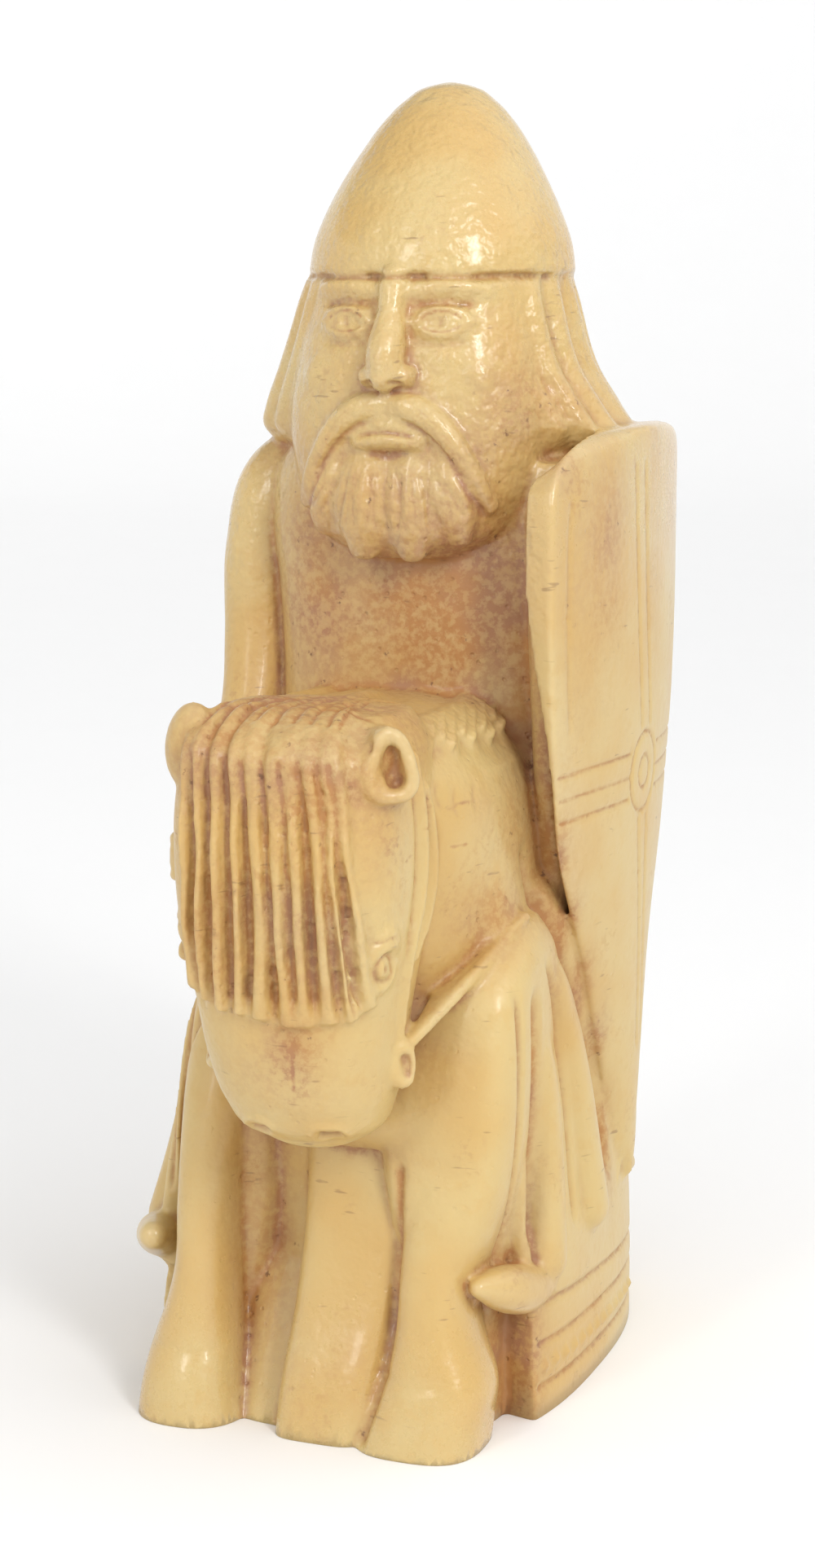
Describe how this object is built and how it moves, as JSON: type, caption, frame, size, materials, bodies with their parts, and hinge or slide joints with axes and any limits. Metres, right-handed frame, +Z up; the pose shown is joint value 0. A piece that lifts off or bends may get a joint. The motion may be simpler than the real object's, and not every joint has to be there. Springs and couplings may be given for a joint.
{
  "type": "medieval chess piece",
  "caption": "Mounted warrior chess piece: helmeted rider with a kite shield on a stocky horse, cast in one piece with a flat underside.",
  "frame": {"origin": "centre of the bounding box in plan, on the flat underside", "axes": "+Z up through the rider's helmet; the horse and rider face -Y; the shield is on +X"},
  "size_m": [0.0336, 0.0506, 0.0924],
  "materials": {
    "ivory_resin": "satin"
  },
  "bodies": {
    "root": {"mounted_warrior": "ivory_resin"}
  },
  "joints": []
}
